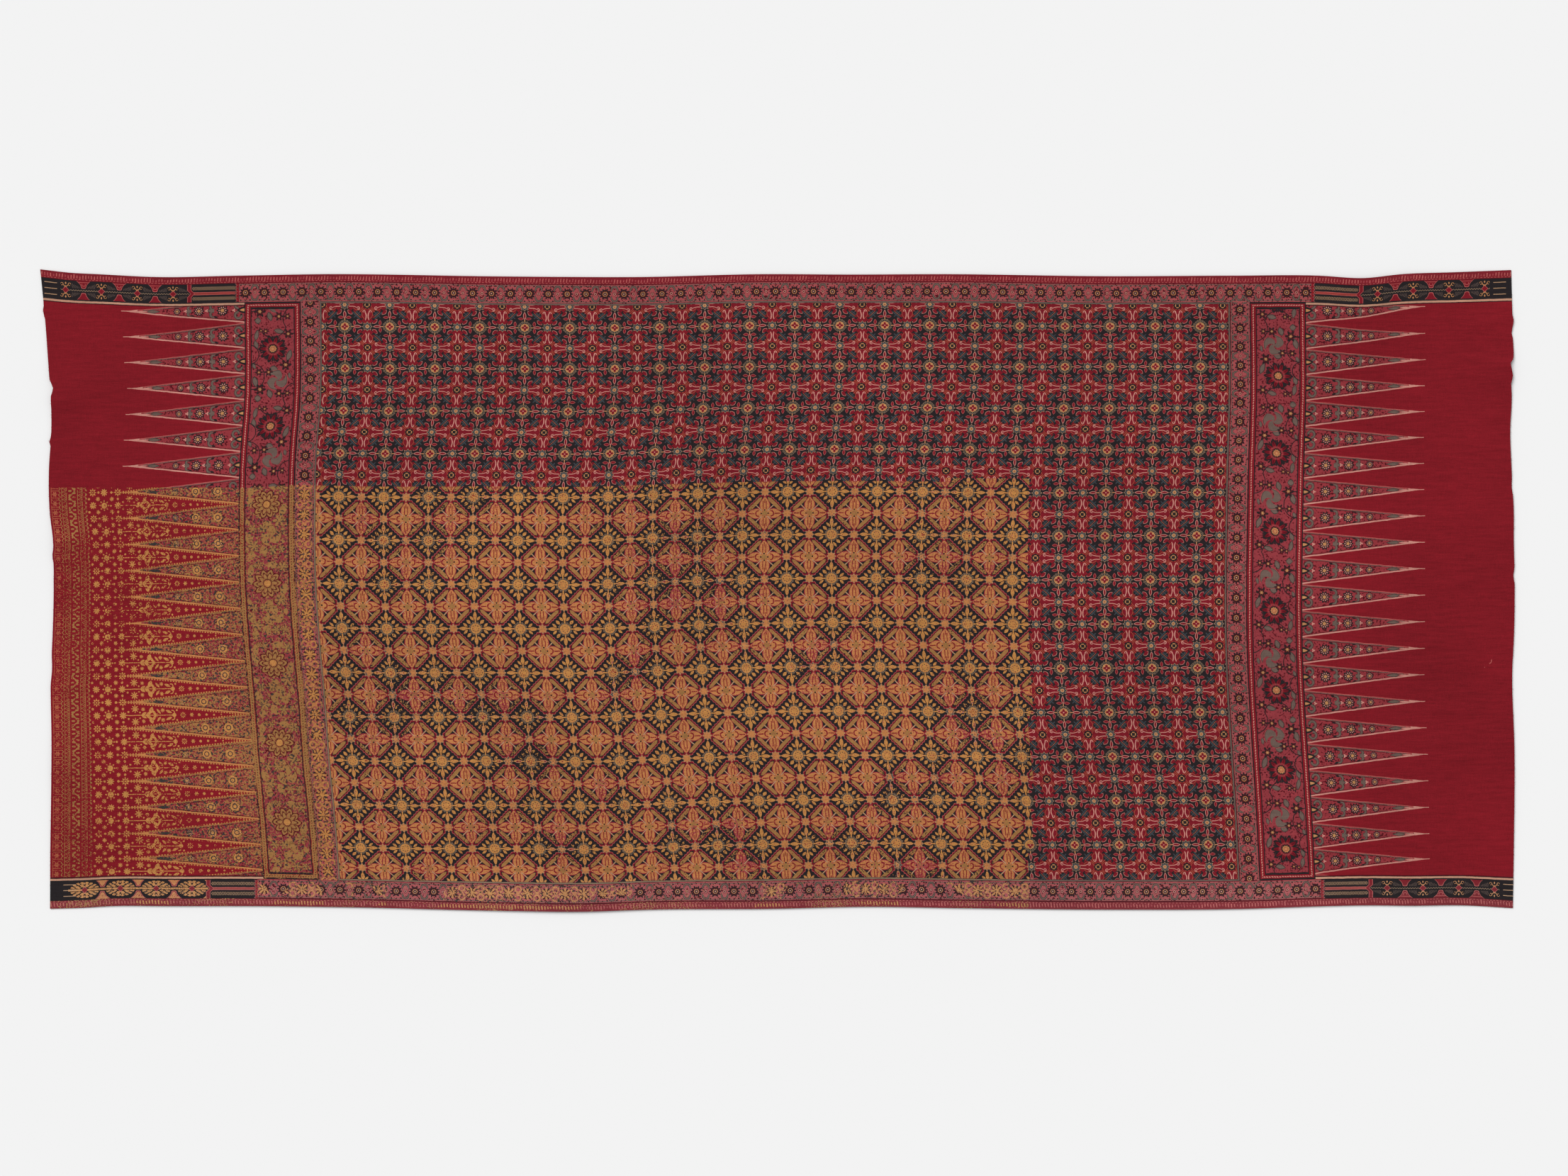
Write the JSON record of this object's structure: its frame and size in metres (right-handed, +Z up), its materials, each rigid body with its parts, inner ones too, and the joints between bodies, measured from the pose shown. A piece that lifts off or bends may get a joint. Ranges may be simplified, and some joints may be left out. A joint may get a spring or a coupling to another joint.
{
  "type": "kalamkari cloth",
  "caption": "Long rectangular cotton cloth lying open and face up, with dyed borders, toothed ends and a lattice field, part of it gilded; spread, hung or worn.",
  "frame": {"origin": "on the surface that the cloth lies on, under the middle of the cloth", "axes": "+X along the cloth's length, +Y across its width, +Z up out of the printed face"},
  "size_m": [2.1001, 0.9151, 0.005],
  "materials": {
    "cotton": "matte plain-weave cotton, mordant dyed in madder red and black, with worn gold on one quarter"
  },
  "bodies": {
    "root": {"cloth": "cotton"}
  },
  "joints": []
}
